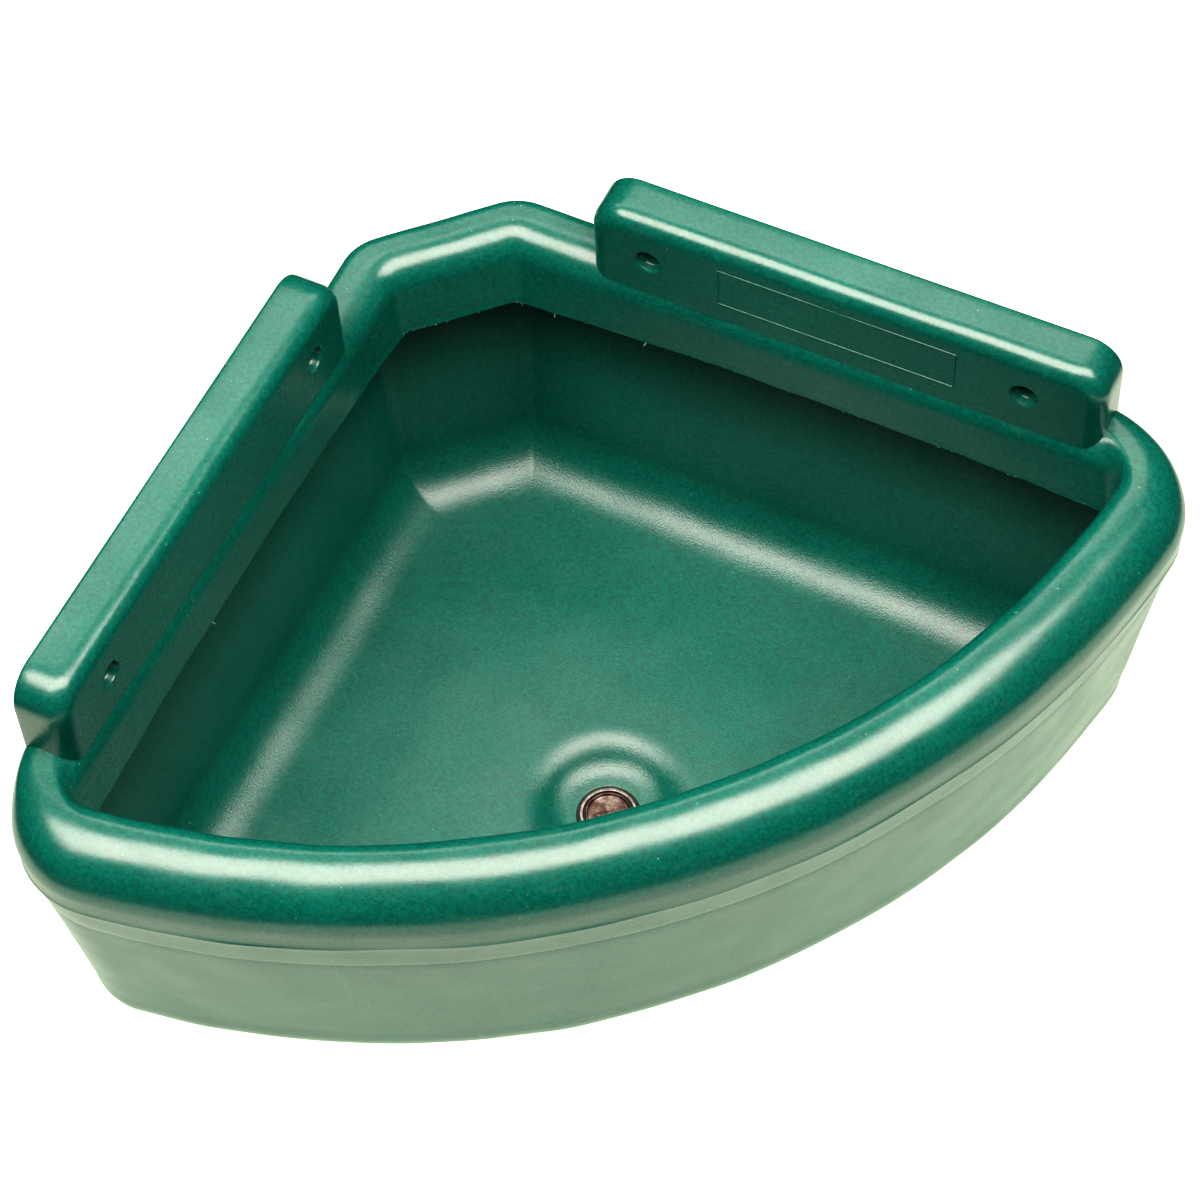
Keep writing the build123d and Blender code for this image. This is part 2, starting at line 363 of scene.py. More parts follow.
# %% [markdown]
# ## The profile
# Cut through anywhere, the wall of the tub is the same path: from the sawn edge up the inner lip, over the
# shoulder, across the ledge, round the outer roll, down the skirt, in over a bevel, down the drafted side,
# round the base, and under the floor to the drain. The inside is the same path 5 mm further in. Heights and
# insets along that path are arrays, and each pair of them is one outline.

# %% Heights and insets
SKIN = 0.005
FRONT_RADIUS, FRONT_CORNER = 0.664, 0.070
FLAT_REACH, BACK_CORNER = 0.092, 0.040
RIM_TOP, ROLL_RADIUS, BACK_EDGE = 0.004, 0.040, 0.010
SKIRT_BOTTOM, BEVEL_BOTTOM, BASE_BOTTOM, BASE_RADIUS = -0.056, -0.090, -0.284, 0.050
FRONT_BEVEL, WALL_BEVEL, FRONT_DRAFT, WALL_DRAFT = 0.008, 0.007, 8.2, 5.6
SKIRT_LEAN = 0.0015                         # the skirt's foot is this much further in than its top
LIP_SETBACK, LIP_RADIUS, LIP_BOTTOM, LIP_LEAN = 0.048, 0.605, -0.061, 0.004
SHOULDER, WIDE_SHOULDER = 0.014, 0.025      # the rounding along the front, and along the walls
LIP_FRONT_CORNER, LIP_BACK_CORNER = 0.007, 0.010
CORNER_OPENS = 1.7                          # how much faster a front corner gets rounder than the lip opens
LIP_BOW = 0.006                             # the lip bends this far towards the wall in mid-length


def side_inset(z, offset, bevel_inset, draft, edge):
    """Inset from the widest outline: quarter circle, skirt, bevel, drafted side, quarter circle."""
    edge_centre, base_centre = RIM_TOP - edge, BASE_BOTTOM + BASE_RADIUS
    slope = math.tan(math.radians(draft))
    rounding = edge - np.sqrt(np.maximum((edge - offset) ** 2 - (z - edge_centre) ** 2, 0))
    lean = SKIRT_LEAN * np.clip((edge_centre - z) / (edge_centre - SKIRT_BOTTOM), 0, 1)
    bevel = offset + lean + (bevel_inset - SKIRT_LEAN) * np.clip(
        (SKIRT_BOTTOM - z) / (SKIRT_BOTTOM - BEVEL_BOTTOM), 0, 1)
    side = bevel + slope * np.maximum(BEVEL_BOTTOM - np.maximum(z, base_centre), 0)
    curve = BASE_RADIUS - offset
    foot = curve - np.sqrt(np.maximum(curve ** 2 - (z - base_centre) ** 2, 0))
    return np.where(z > edge_centre, rounding, side + np.where(z < base_centre, foot, 0))


def body_outline(z, offset):
    """Outline of the outside at heights z, or of the same surface `offset` further in."""
    wall = side_inset(z, offset, WALL_BEVEL, WALL_DRAFT, BACK_EDGE)
    front = side_inset(z, offset, FRONT_BEVEL, FRONT_DRAFT, ROLL_RADIUS)
    return outline(FRONT_RADIUS - front, wall, FLAT_REACH + wall * math.sqrt(2),
                   np.maximum(FRONT_CORNER - wall, 0.006), np.maximum(BACK_CORNER - wall, 0.006))


def lip_outline(z, offset, shoulder):
    """Outline of the opening at heights z: the lip leans out on its way up, then rounds the shoulder.

    Along the front the opening grows only as much as the narrow shoulder needs, whatever its size.
    """
    centre = RIM_TOP - shoulder
    lean = offset + LIP_LEAN * (z - LIP_BOTTOM) / (centre - LIP_BOTTOM)
    over = LIP_LEAN + shoulder - np.sqrt(np.maximum((shoulder - offset) ** 2 - (z - centre) ** 2, 0))
    grow = np.where(z > centre, over, lean)
    front_grow = grow * (LIP_LEAN + SHOULDER) / (LIP_LEAN + shoulder)
    loop = outline(LIP_RADIUS + front_grow, LIP_SETBACK - grow,
                   FLAT_REACH + (LIP_SETBACK - grow) * math.sqrt(2),
                   LIP_FRONT_CORNER + CORNER_OPENS * grow, LIP_BACK_CORNER + grow)
    low = np.clip((centre - z) / (centre - LIP_BOTTOM), 0, 1)[:, None]
    bow = LIP_BOW * low * 4 * along_wall * (1 - along_wall)
    right = np.arange(len(along_wall)) < len(along_wall) / 2
    loop[..., 1] += np.where(right, bow, 0)
    loop[..., 0] -= np.where(right, 0, bow)
    return loop


def arc(centre, radius, first, last, count, ends=(True, True)):
    """Heights on a round edge, evenly spaced in angle."""
    return centre + radius * np.sin(np.radians(between(first, last, count, ends)))


def wide_share():
    """For every column, how much of the wide shoulder it has: all by the walls, none along the front."""
    t = upto(0, 1, COLUMNS["corner"])
    return all_columns(np.ones(COLUMNS["flat"] + COLUMNS["back"] + COLUMNS["wall"]),
                       1 - t * t * (3 - 2 * t), np.zeros(COLUMNS["front"] + 1))


def opening_rows(offset, lip_count, shoulder_count):
    """Rows from the cut edge up the lip and over the shoulder, mixed per column from two shoulder sizes."""
    grids = []
    for shoulder in (SHOULDER, WIDE_SHOULDER):
        z = np.concatenate([between(LIP_BOTTOM, RIM_TOP - shoulder, lip_count, (True, False)),
                            arc(RIM_TOP - shoulder, shoulder - offset, 0, 90, shoulder_count)])
        grids.append(level(lip_outline(z, offset, shoulder), z))
    share = wide_share()[None, :, None]
    return grids[0] * (1 - share) + grids[1] * share


def level(loop, z):
    """Outlines with their heights as rows of 3-D points."""
    height = np.broadcast_to(np.asarray(z)[:, None, None], loop.shape[:2] + (1,))
    return np.concatenate([loop, height], axis=-1)


print("rim to base:", round(RIM_TOP - BASE_BOTTOM, 3), "m")

# %% [markdown]
# ## The floor and its sump
# The floor runs level from the rounded base to a round dish with the drain in its middle. Rows go from the
# base outline to circles round the drain by blending the two, with every column on its own ray from the
# drain, so the dish is perfectly round although the floor isn't.

# %% Sump rows
drain_low, drain_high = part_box("drain_bush")
DRAIN = np.array([(drain_low.x + drain_high.x) / 2, (drain_low.y + drain_high.y) / 2])
FLOOR_TOP = BASE_BOTTOM + SKIN
SUMP_FLOOR, SUMP_FOOT = FLOOR_TOP - 0.017, FLOOR_TOP - 0.0157
SUMP_MOUTH_RADIUS, SUMP_FOOT_RADIUS, BLEND_RADIUS = 0.0574, 0.039, 0.12
MOUTH_ROUNDING, FOOT_ROUNDING = 0.032, 0.030
RECESS_RADIUS, RECESS_FLOOR, HOLE_RADIUS = 0.0242, SUMP_FLOOR - 0.0045, 0.0194
BOSS_RADIUS, BOSS_FACE = 0.033, SUMP_FLOOR - SKIN - 0.004


def rounded(points, radii, steps=7):
    """A path of (radius, height) corners with given corner radii: each corner becomes a short arc.

    The arc touches both sides at radius * tan(turn / 2) from the corner and is sampled evenly in angle.
    """
    points, path = np.array(points, float), []
    for i, corner in enumerate(points):
        size = radii.get(i, 0)
        if not size or i in (0, len(points) - 1):
            path.append(corner[None])
            continue
        back, on = points[i - 1] - corner, points[i + 1] - corner
        back, on = back / np.linalg.norm(back), on / np.linalg.norm(on)
        half = math.acos(np.clip(back @ on, -1, 1)) / 2
        centre = corner + (back + on) / np.linalg.norm(back + on) * size / math.sin(half)
        first = corner + back * size / math.tan(half) - centre
        last = corner + on * size / math.tan(half) - centre
        t = np.linspace(0, 1, steps)[:, None]
        whole = math.pi - 2 * half
        swing = np.sin((1 - t) * whole) * first + np.sin(t * whole) * last
        path.append(centre + swing / math.sin(whole))
    return np.concatenate(path)


def spread(path, step):
    """The same path with points added so that no straight run is longer than step."""
    pieces = [path[:1]]
    for a, b in zip(path[:-1], path[1:]):
        count = max(int(np.ceil(np.linalg.norm(b - a) / step)), 1)
        pieces.append(a + (b - a) * np.linspace(0, 1, count + 1)[1:, None])
    return np.concatenate(pieces)


def rings(path, rays):
    """Circles round the drain, one per (radius, height), with a point on each column's ray."""
    x = DRAIN[0] + path[:, :1] * rays[None, :, 0]
    y = DRAIN[1] + path[:, :1] * rays[None, :, 1]
    return np.stack([x, y, np.broadcast_to(path[:, 1:], x.shape)], axis=-1)


def rays_to(loop):
    """Unit directions from the drain to each point of a loop."""
    ray = loop - DRAIN
    return ray / np.linalg.norm(ray, axis=1)[:, None]


def blend_rows(first, last, count):
    """Rows part way between two loops, without either end."""
    t = between(0, 1, count + 2, (False, False))[:, None, None]
    return first[None] * (1 - t) + last[None] * t


print("drain at", DRAIN.round(4))

# %% [markdown]
# ## The tub's skin
# All rows follow each other in one closed loop, so the tub is a single watertight skin with the drain hole
# through it. A moulding of this size is never quite flat: it cools unevenly and its big faces end up a
# fraction of a millimetre wavy, which shows only in the way the light slides over them.

# %% Tub rows
LIP_ROWS, INNER_LIP_ROWS = 13, 7
SEAM = np.array([0.0024, 0.0014, 0.0007, 0, -0.0007, -0.0014, -0.0024])    # close rows across a crease


def outer_rows():
    """Sawn edge, lip, shoulder, ledge, roll, skirt, bevel, side, base and the underside to the drain."""
    opening = opening_rows(0, LIP_ROWS, 19)
    roll = arc(RIM_TOP - ROLL_RADIUS, ROLL_RADIUS, 90, 0, 25)
    low = np.concatenate([between(RIM_TOP - ROLL_RADIUS, SKIRT_BOTTOM + SEAM[0], 6, (False, False)),
                          SKIRT_BOTTOM + SEAM,
                          between(SKIRT_BOTTOM + SEAM[-1], BEVEL_BOTTOM + SEAM[0], 7, (False, False)),
                          BEVEL_BOTTOM + SEAM,
                          between(BEVEL_BOTTOM + SEAM[-1], BASE_BOTTOM + BASE_RADIUS, 16, (False, True))])
    base = arc(BASE_BOTTOM + BASE_RADIUS, BASE_RADIUS, 0, -90, 13, (False, True))
    heights = np.concatenate([roll, low, base])
    body = level(body_outline(heights, 0), heights)
    ledge = blend_rows(opening[-1], body[0], 7)
    rays = rays_to(body[-1, :, :2])
    under = rounded([(BLEND_RADIUS, BASE_BOTTOM), (SUMP_MOUTH_RADIUS + SKIN, BASE_BOTTOM),
                     (SUMP_FOOT_RADIUS + 0.003, SUMP_FOOT - SKIN),
                     (BOSS_RADIUS + 0.002, SUMP_FLOOR - SKIN), (BOSS_RADIUS, SUMP_FLOOR - SKIN),
                     (BOSS_RADIUS - 0.001, BOSS_FACE), (HOLE_RADIUS, BOSS_FACE)],
                    {1: 0.020, 2: 0.008, 3: 0.0008, 4: 0.0008, 5: 0.002}, 6)
    dish = rings(spread(under, 0.012), rays)
    floor = blend_rows(body[-1], dish[0], 9)
    return [opening, ledge, body, floor, dish], rays


def inner_rows(rays):
    """The hidden side of the same skin, from the drain hole back up to the sawn edge."""
    inside = rounded([(HOLE_RADIUS, BOSS_FACE + 0.0005), (HOLE_RADIUS, RECESS_FLOOR),
                      (RECESS_RADIUS, RECESS_FLOOR), (RECESS_RADIUS, SUMP_FLOOR),
                      (SUMP_FOOT_RADIUS, SUMP_FOOT), (SUMP_MOUTH_RADIUS, FLOOR_TOP),
                      (BLEND_RADIUS, FLOOR_TOP)],
                     {3: 0.0008, 4: FOOT_ROUNDING, 5: MOUTH_ROUNDING}, 14)
    dish = rings(spread(inside, 0.004), rays)
    base = arc(BASE_BOTTOM + BASE_RADIUS, BASE_RADIUS - SKIN, -90, 0, 17)
    high = np.concatenate([between(BASE_BOTTOM + BASE_RADIUS, BEVEL_BOTTOM, 18, (False, True)),
                           between(BEVEL_BOTTOM, SKIRT_BOTTOM, 5, (False, True)),
                           between(SKIRT_BOTTOM, RIM_TOP - ROLL_RADIUS, 4, (False, False))])
    roll = arc(RIM_TOP - ROLL_RADIUS, ROLL_RADIUS - SKIN, 0, 90, 13)
    heights = np.concatenate([base, high, roll])
    body = level(body_outline(heights, SKIN), heights)
    opening = opening_rows(SKIN, INNER_LIP_ROWS, 8)[::-1]
    floor = blend_rows(dish[-1], body[0], 16)
    ledge = blend_rows(body[-1], opening[0], 3)
    return [dish, floor, body, ledge, opening]


outer, drain_rays = outer_rows()
inner = inner_rows(drain_rays)
tub_grid = np.concatenate(outer + inner)
OUTER_ROWS = sum(len(part) for part in outer)
print("tub rows", len(tub_grid), "columns", tub_grid.shape[1])

# %% Waves of a big moulding
LONG_WAVE, LONG_HEIGHT = 0.16, 0.00050
SHORT_WAVE, SHORT_HEIGHT = 0.045, 0.00020


def waves(points, seed, wavelength, count=14):
    """Soft random field: the mean of sines with random directions and phases near one wavelength."""
    rng = np.random.default_rng(seed)
    heading = rng.normal(size=(count, 3))
    heading /= np.linalg.norm(heading, axis=1)[:, None]
    heading *= 2 * math.pi / (wavelength * rng.uniform(0.7, 1.6, (count, 1)))
    phase = rng.uniform(0, 2 * math.pi, count)
    return np.sin(points @ heading.T + phase).sum(-1) / math.sqrt(count)


def grid_normals(grid):
    """Unit cross product of the row and column steps at every point."""
    across = np.roll(grid, -1, axis=1) - np.roll(grid, 1, axis=1)
    down = np.roll(grid, -1, axis=0) - np.roll(grid, 1, axis=0)
    normal = np.cross(across, down)
    return normal / np.maximum(np.linalg.norm(normal, axis=-1), 1e-12)[..., None]


def settle(grid):
    """Move each point along its normal by long and short waves, but not at the drain."""
    away_from_drain = np.linalg.norm(grid[..., :2] - DRAIN, axis=-1)
    share = np.clip((away_from_drain - 0.04) / 0.05, 0, 1)
    field = LONG_HEIGHT * waves(grid, 11, LONG_WAVE) + SHORT_HEIGHT * waves(grid, 12, SHORT_WAVE)
    return grid + (share * field)[..., None] * grid_normals(grid)


print("wave heights", LONG_HEIGHT, SHORT_HEIGHT)

# %% [markdown]
# ## Parting line and sawn edge
# The mould's two halves meet under the skirt, and a thin bead of plastic squeezes out between them. The
# opening is cut by hand, so its edge isn't quite level. Both are small moves of the same rows, so they are
# shape and not paint: the bead is a bell curve of height, and the edge's wander is a sum of sines.

# %% Parting line and sawn edge
BEAD_HEIGHT, BEAD_WIDTH = 0.0010, 0.0014
NICK_DEPTH, NICK_WIDTH = 0.0003, 0.0016
SAW_WANDER, SAW_STEP = 0.00035, 0.00022


def outward(grid):
    """Level unit directions away from the middle of the manger."""
    ray = grid * [1, 1, 0] - [*DRAIN, 0]
    return ray / np.maximum(np.linalg.norm(ray, axis=-1), 1e-6)[..., None]


def flash_line(grid):
    """Push the outside out in a thin uneven bead under the skirt, and in at a nick under the bevel."""
    outside = np.arange(len(grid)) < OUTER_ROWS
    z = grid[..., 2]
    uneven = 0.7 + 0.3 * waves(grid, 13, 0.11)
    bead = BEAD_HEIGHT * uneven * np.exp(-((z - SKIRT_BOTTOM) / BEAD_WIDTH) ** 2)
    nick = -NICK_DEPTH * np.exp(-((z - BEVEL_BOTTOM) / NICK_WIDTH) ** 2)
    push = outside[:, None] * (bead + nick) * (z < SKIRT_BOTTOM + 0.01)
    return grid + push[..., None] * outward(grid)


def trim(grid):
    """Raise and lower the sawn edge by a slow wander and by small steps where the saw restarted."""
    rng = np.random.default_rng(5)
    columns = grid.shape[1]
    u = np.arange(columns) / columns
    wander = sum(rng.normal() * np.sin(2 * math.pi * (k * u + rng.uniform())) for k in range(3, 16))
    wander = SAW_WANDER * wander + rng.normal(0, SAW_STEP, columns)
    grid[:LIP_ROWS, :, 2] += np.linspace(1, 0, LIP_ROWS)[:, None] * wander
    grid[-INNER_LIP_ROWS:, :, 2] += np.linspace(0, 1, INNER_LIP_ROWS)[:, None] * wander
    return grid


tub_grid = trim(flash_line(settle(tub_grid)))
cut_edge = tub_grid[0].copy()
tub = sheet("tub_moulding", tub_grid, close_rows=True)
OUTSIDE, INSIDE, SAWN = range(3)
face_kind = np.full(len(tub.data.polygons), OUTSIDE, np.int32)
face_kind[OUTER_ROWS * tub_grid.shape[1]:] = INSIDE
face_kind[-tub_grid.shape[1]:] = SAWN
for name in ("outside", "inside", "sawn"):       # three empty slots, filled when the plastics are made
    tub.data.materials.append(bpy.data.materials.new(name))
tub.data.polygons.foreach_set("material_index", face_kind)
print("tub faces", len(tub.data.polygons))

# %% [markdown]
# ## The mounting bars
# Two hollow bars stand on the ledge against the walls and carry the fixing screws. From the front a bar is
# a long rectangle with generous upper corners, and its front face is rounded over all the way round. Rows
# run from the wall face over that rounding to the middle of the front face, each one the same outline
# further in.

# %% Bar
BAR_START, BAR_LENGTH, BAR_DEPTH, BAR_TOP, BAR_ROOT = 0.170, 0.400, 0.040, 0.070, -0.012
BAR_END, BAR_EDGE, BAR_BACK_EDGE = 0.026, 0.014, 0.0035
BAR_POLE = 0.028                            # height where the rows of each face meet
BAR_WOBBLE = 0.0003
WALL_GAP = 0.0003                           # the wall face is set back a hair from the wall plane


def bar_loop(inset):
    """Outline in the wall plane for arrays of insets: up one end, over the top, down and back."""
    d = np.asarray(inset, float)[:, None]
    x0, x1, top = BAR_START + d, BAR_START + BAR_LENGTH - d, BAR_TOP - d
    r = np.maximum(BAR_END - d, 0.003)
    near, far, high, root = x0 + r, x1 - r, top - r, BAR_ROOT + 0 * d
    return joined(line((x0, root), (x0, high), 8), bend((near, high), r, 180, 90, 11),
                  line((near, top), (far, top), 50), bend((far, high), r, 90, 0, 11),
                  line((x1, high), (x1, root), 8), line((x1, root), (x0, root), 24))


def bar_grid():
    """Wall face from its middle, small rounding, sides, large rounding, front face to its middle."""
    small, large = np.radians(between(0, 90, 5)), np.radians(between(0, 90, 13))
    flat = between(BAR_BACK_EDGE, BAR_DEPTH - BAR_EDGE, 5, (False, False))
    depth = np.concatenate([WALL_GAP + (BAR_BACK_EDGE - WALL_GAP) * (1 - np.cos(small)), flat,
                            BAR_DEPTH - BAR_EDGE * (1 - np.sin(large))])
    inset = np.concatenate([BAR_BACK_EDGE * (1 - np.sin(small)), 0 * flat,
                            BAR_EDGE * (1 - np.cos(large))])
    x, z = bar_loop(inset)
    sides = np.stack([x, np.broadcast_to(-depth[:, None], x.shape), z], axis=-1)
    back_pole, front_pole = (np.broadcast_to([BAR_START + BAR_LENGTH / 2, y, BAR_POLE], sides[0].shape)
                             for y in (-depth[0], -BAR_DEPTH))
    back = blend_rows(back_pole, sides[0], 3)
    face = blend_rows(sides[-1], front_pole, 5)
    return np.concatenate([back_pole[None], back, sides, face, front_pole[None]])


bar_points = bar_grid()
print("bar rows", bar_points.shape[0], "columns", bar_points.shape[1])

# %% [markdown]
# ## Fixing holes and the marking panel
# A screw goes through each bar in two places, with a wider mouth for its head. A plastic edge round a hole
# is never sharp, so the tool that carves the hole flares at the mouth. Between the holes of the right-hand
# bar a thin raised line frames a blank panel for marking the manger.

# %% Hole tools and panel line
record = frame["record"]
mounts = {mount["name"]: mount for mount in record["mounts"]}
bolts = mounts["right_bar_bolts"]
HOLE_SPACING = bolts["dims"]["spacing_x_mm"] / 1000
HOLE_CENTRES = [bolts["pos_m"][0] + side * HOLE_SPACING / 2 for side in (-1, 1)]
HOLE_HEIGHT = bolts["pos_m"][2]
BORE = bolts["dims"]["hole_r_mm"] / 1000
MOUTH_PATH = [(0, -0.004), (0.0125, -0.004), (0.0112, 0), (0.0100, 0.0009), (0.0095, 0.0025),
              (0.0093, 0.0056), (0.0086, 0.0067), (0.0072, 0.0072), (BORE + 0.0001, 0.0078),
              (BORE, 0.0090), (BORE, 0.044), (0, 0.044)]
PANEL_START, PANEL_LENGTH, PANEL_LOW, PANEL_HIGH = 0.274, 0.184, 0.011, 0.048


def turned_about_y(path, x, z, columns=40):
    """Rings of (radius, depth) round a line along Y through (x, z), depth counted from the bar's face."""
    path = np.array(path)
    turn = upto(0, 2 * math.pi, columns)
    depth = np.broadcast_to(-BAR_DEPTH + path[:, 1:], (len(path), columns))
    return np.stack([x + path[:, :1] * np.cos(turn), depth, z + path[:, :1] * np.sin(turn)], axis=-1)


def panel_line():
    """A low rounded bead that follows a rectangle: ten section points, each its own inset rectangle."""
    turn = upto(0, 2 * math.pi, 10)
    inset, rise = 0.0007 * np.cos(turn), 0.0006 * np.sin(turn)
    t = upto(0, 1, 30)
    x0, x1 = PANEL_START + inset, PANEL_START + PANEL_LENGTH - inset
    z0, z1 = PANEL_LOW + inset, PANEL_HIGH - inset

    def sides(*corners):
        return np.concatenate([a[:, None] + (b - a)[:, None] * t
                               for a, b in zip(corners, corners[1:] + corners[:1])], axis=1)

    x, z = sides(x0, x1, x1, x0), sides(z0, z0, z1, z1)
    return np.stack([x, np.broadcast_to(-BAR_DEPTH - rise[:, None], x.shape), z], axis=-1)


def carve(piece, tool, operation):
    """Join or cut two closed skins with an exact boolean, and keep only the result."""
    modifier = piece.modifiers.new("carve", "BOOLEAN")
    modifier.operation, modifier.object, modifier.solver = operation, tool, "EXACT"
    seen = piece.evaluated_get(bpy.context.evaluated_depsgraph_get())
    result = bpy.data.meshes.new_from_object(seen)
    piece.modifiers.clear()
    old = piece.data
    piece.data = result
    bpy.data.meshes.remove(old)
    bpy.data.objects.remove(tool)


def other_wall(grid):
    """The same points with the two walls swapped: x and y trade places and signs."""
    return np.stack([-grid[..., 1], -grid[..., 0], grid[..., 2]], axis=-1)


def bar_wobble(grid, seed):
    """Small waves on the bar's free faces, pushed along its depth and its height."""
    free = np.clip((grid[..., 2] - 0.01) / 0.02, 0, 1) * np.clip(-grid[..., 1] / 0.01, 0, 1)
    moved = grid.copy()
    moved[..., 1] += free * BAR_WOBBLE * waves(grid, seed, 0.09)
    moved[..., 2] += free * BAR_WOBBLE * waves(grid, seed + 1, 0.12)
    return moved


def wall_bar(name, seed, place):
    """One bar with its two stepped holes; place puts the right-hand shape on its own wall."""
    bar = sheet(name, place(bar_wobble(bar_points, seed)), poles=True)
    for number, x in enumerate(HOLE_CENTRES):
        tool = sheet("hole_tool", place(turned_about_y(MOUTH_PATH, x, HOLE_HEIGHT)), poles=True)
        carve(bar, tool, "DIFFERENCE")
    return bar


right_bar = wall_bar("right_bar", 21, np.array)
carve(right_bar, sheet("panel_line", panel_line(), close_rows=True), "UNION")
left_bar = wall_bar("left_bar", 31, other_wall)
for bar in (right_bar, left_bar):
    carve(tub, bar, "UNION")
smooth(tub)
print("tub with bars:", len(tub.data.polygons), "faces")

# %% [markdown]
# ## The drain fitting
# A flanged metal bush sits on a rubber ring in the bottom of the sump, and a thin washer and a hexagon nut
# hold it from below. The plug screws into it on a slim O-ring. All of them are turned parts, so each one
# is a path of radius and height carried round the drain's axis. A thread is the same path with its radius
# raised and lowered along a helix: the height over the pitch, less the share of a turn, gives the place
# on the tooth.

# %% Turned parts
PITCH = 0.002309
THREAD_DEPTH = 0.0009
TURN_COLUMNS = 112


def heights_of(node):
    """Lowest and highest point of one CAD node."""
    low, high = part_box(node)
    return low.z, high.z


def turned(name, path, threads=(), closed=True, flats=None):
    """Rings round the drain from a (radius, height) path.

    A thread is (low, high, inner radius, outer radius, sign): where the tooth is raised, and which way.
    flats is (half width across flats, core radius): beyond the core, radii shrink to fit a hexagon.
    """
    path = np.asarray(path, float)
    turn = upto(0, 2 * math.pi, TURN_COLUMNS)
    radius = np.broadcast_to(path[:, :1], (len(path), TURN_COLUMNS)).copy()
    height = np.broadcast_to(path[:, 1:], radius.shape)
    for low, high, first, last, sign in threads:
        phase = height / PITCH - turn / (2 * math.pi)
        tooth = np.abs((phase % 1) * 2 - 1)
        inside = np.clip((height - low) / PITCH, 0, 1) * np.clip((high - height) / PITCH, 0, 1)
        band = (path[:, :1] >= first) & (path[:, :1] <= last)
        radius += sign * THREAD_DEPTH * np.clip(tooth * 1.25 - 0.12, 0, 1) * inside * band
    if flats is not None:
        flat, core = flats
        sector = (turn + math.pi / 6) % (math.pi / 3) - math.pi / 6
        widest = path[:, 0].max()
        limit = np.minimum(flat / np.cos(sector), widest)
        shrunk = core + (radius - core) * (limit - core) / (widest - core)
        radius = np.where(radius > core, shrunk, radius)
    x, y = DRAIN[0] + radius * np.cos(turn), DRAIN[1] + radius * np.sin(turn)
    grid = np.stack([x, y, height], axis=-1)
    piece = sheet(name, grid, close_rows=closed, poles=not closed)
    smooth(piece, 38)
    return piece


def thread_run(radius, first, last, step=0.0003):
    """Points close enough together along a threaded length to show its teeth."""
    count = int(abs(last - first) / step) + 1
    return np.stack([np.full(count, radius), np.linspace(first, last, count)], axis=-1)


bush_bottom, flange_top = heights_of("drain_bush")
gasket_low, gasket_top = heights_of("bush_gasket")
flange_bottom = flange_top - 0.005
plug_bottom, plug_top = heights_of("drain_plug")
FLANGE, TUBE, PLUG_BORE, SEAT, GASKET = 0.0222, 0.019, 0.0154, 0.0194, 0.0241
seat_floor = flange_top - 0.0032
bush_path = np.concatenate([
    rounded([(TUBE, flange_bottom), (FLANGE, flange_bottom), (FLANGE, flange_top), (SEAT, flange_top),
             (SEAT, seat_floor), (PLUG_BORE, seat_floor), (PLUG_BORE, seat_floor - 0.001)],
            {1: 0.0004, 2: 0.0009, 3: 0.0004, 5: 0.0003}, 6),
    thread_run(PLUG_BORE, seat_floor - 0.0012, bush_bottom + 0.0008),
    [(PLUG_BORE + 0.0006, bush_bottom), (TUBE - 0.0008, bush_bottom)],
    thread_run(TUBE, bush_bottom + 0.0008, flange_bottom - 0.0006)])
bush = turned("flanged_bush", bush_path, threads=[
    (bush_bottom + 0.0006, seat_floor - 0.0014, 0.0150, 0.0160, 1),
    (bush_bottom + 0.0002, flange_bottom - 0.0050, 0.0186, 0.0191, -1)])
gasket = turned("bush_gasket_ring", rounded(
    [(0.0210, gasket_low), (GASKET, gasket_low), (GASKET, gasket_top), (FLANGE + 0.0001, gasket_top),
     (FLANGE + 0.0001, flange_bottom), (TUBE + 0.0001, flange_bottom), (TUBE + 0.0001, gasket_low),
     (0.0209, gasket_low)],
    {1: 0.0005, 2: 0.0007, 3: 0.0007, 4: 0.0002, 5: 0.0002, 6: 0.0002}, 5))
print("bush and gasket made")

# %% Plug
HEAD, STEM, DISH, GRIP_TURN = 0.0175, 0.01534, 0.0022, math.radians(35)
head_top = seat_floor + 0.0036
dish_floor = head_top - DISH
plug_path = np.concatenate([
    rounded([(0, dish_floor), (HEAD - 0.0015, dish_floor), (HEAD - 0.0011, head_top), (HEAD, head_top),
             (HEAD, seat_floor), (STEM, seat_floor), (STEM, seat_floor - 0.0008)],
            {1: 0.0012, 2: 0.0003, 3: 0.0005, 4: 0.0002, 5: 0.0002}, 6),
    thread_run(STEM, seat_floor - 0.001, plug_bottom + 0.0013),
    [(STEM - 0.0012, plug_bottom), (0, plug_bottom)]])
plug = turned("screw_plug", spread(plug_path, 0.003), closed=False,
              threads=[(plug_bottom + 0.0002, seat_floor - 0.0016, 0.0152, 0.0154, -1)])


